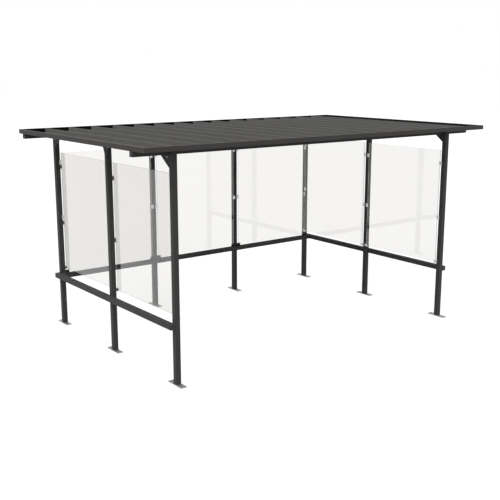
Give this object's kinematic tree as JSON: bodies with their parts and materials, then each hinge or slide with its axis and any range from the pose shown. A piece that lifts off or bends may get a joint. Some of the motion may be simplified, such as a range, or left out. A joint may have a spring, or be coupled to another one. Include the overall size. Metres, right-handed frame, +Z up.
{
  "type": "bike shelter",
  "caption": "Open-fronted bicycle shelter with a square-tube steel frame, clamped glass side and rear walls and a flat ribbed roof.",
  "frame": {"origin": "on the ground, under the middle of the shelter's bounding box", "axes": "+Z up, +X to the right along the width, the open front faces -Y"},
  "size_m": [4.24, 2.601, 2.129],
  "materials": {
    "frame_steel": "anthracite powder coat, satin, fine grained",
    "roof_steel": "grey coated steel sheet, satin",
    "trim_steel": "anthracite coated steel sheet, satin",
    "zinc": "hot-dip galvanised, matt",
    "clamp_metal": "nickel plated, satin",
    "foot_clamp": "black coated, satin",
    "glass": "clear toughened glass, polished edges",
    "cap_plastic": "black moulded plastic"
  },
  "bodies": {
    "root": {"post_front_left": "frame_steel", "post_mid_left": "frame_steel", "post_rear_left": "frame_steel", "post_back_left": "frame_steel", "post_front_right": "frame_steel", "post_mid_right": "frame_steel", "post_rear_right": "frame_steel", "post_back_right": "frame_steel", "base_plate_front_left": "zinc", "base_plate_mid_left": "zinc", "base_plate_rear_left": "zinc", "base_plate_back_left": "zinc", "base_plate_front_right": "zinc", "base_plate_mid_right": "zinc", "base_plate_rear_right": "zinc", "base_plate_back_right": "zinc", "rail_left": "frame_steel", "rail_right": "frame_steel", "rail_back": "frame_steel", "beam_front": "frame_steel", "beam_rear": "frame_steel", "rafter_left": "frame_steel", "rafter_right": "frame_steel", "gussets_left": "frame_steel", "gussets_right": "frame_steel", "tube_end_caps": "cap_plastic", "glass_left_front": "glass", "glass_left_rear": "glass", "glass_right_front": "glass", "glass_right_rear": "glass", "glass_back_left": "glass", "glass_back_mid": "glass", "glass_back_right": "glass", "clamps_left": "clamp_metal", "clamps_right": "clamp_metal", "clamps_back": "clamp_metal", "foot_clamps_back": "foot_clamp", "roof_sheet": "roof_steel", "fascia_front": "trim_steel", "fascia_rear": "trim_steel", "fascia_left": "trim_steel", "fascia_right": "trim_steel"}
  },
  "joints": []
}
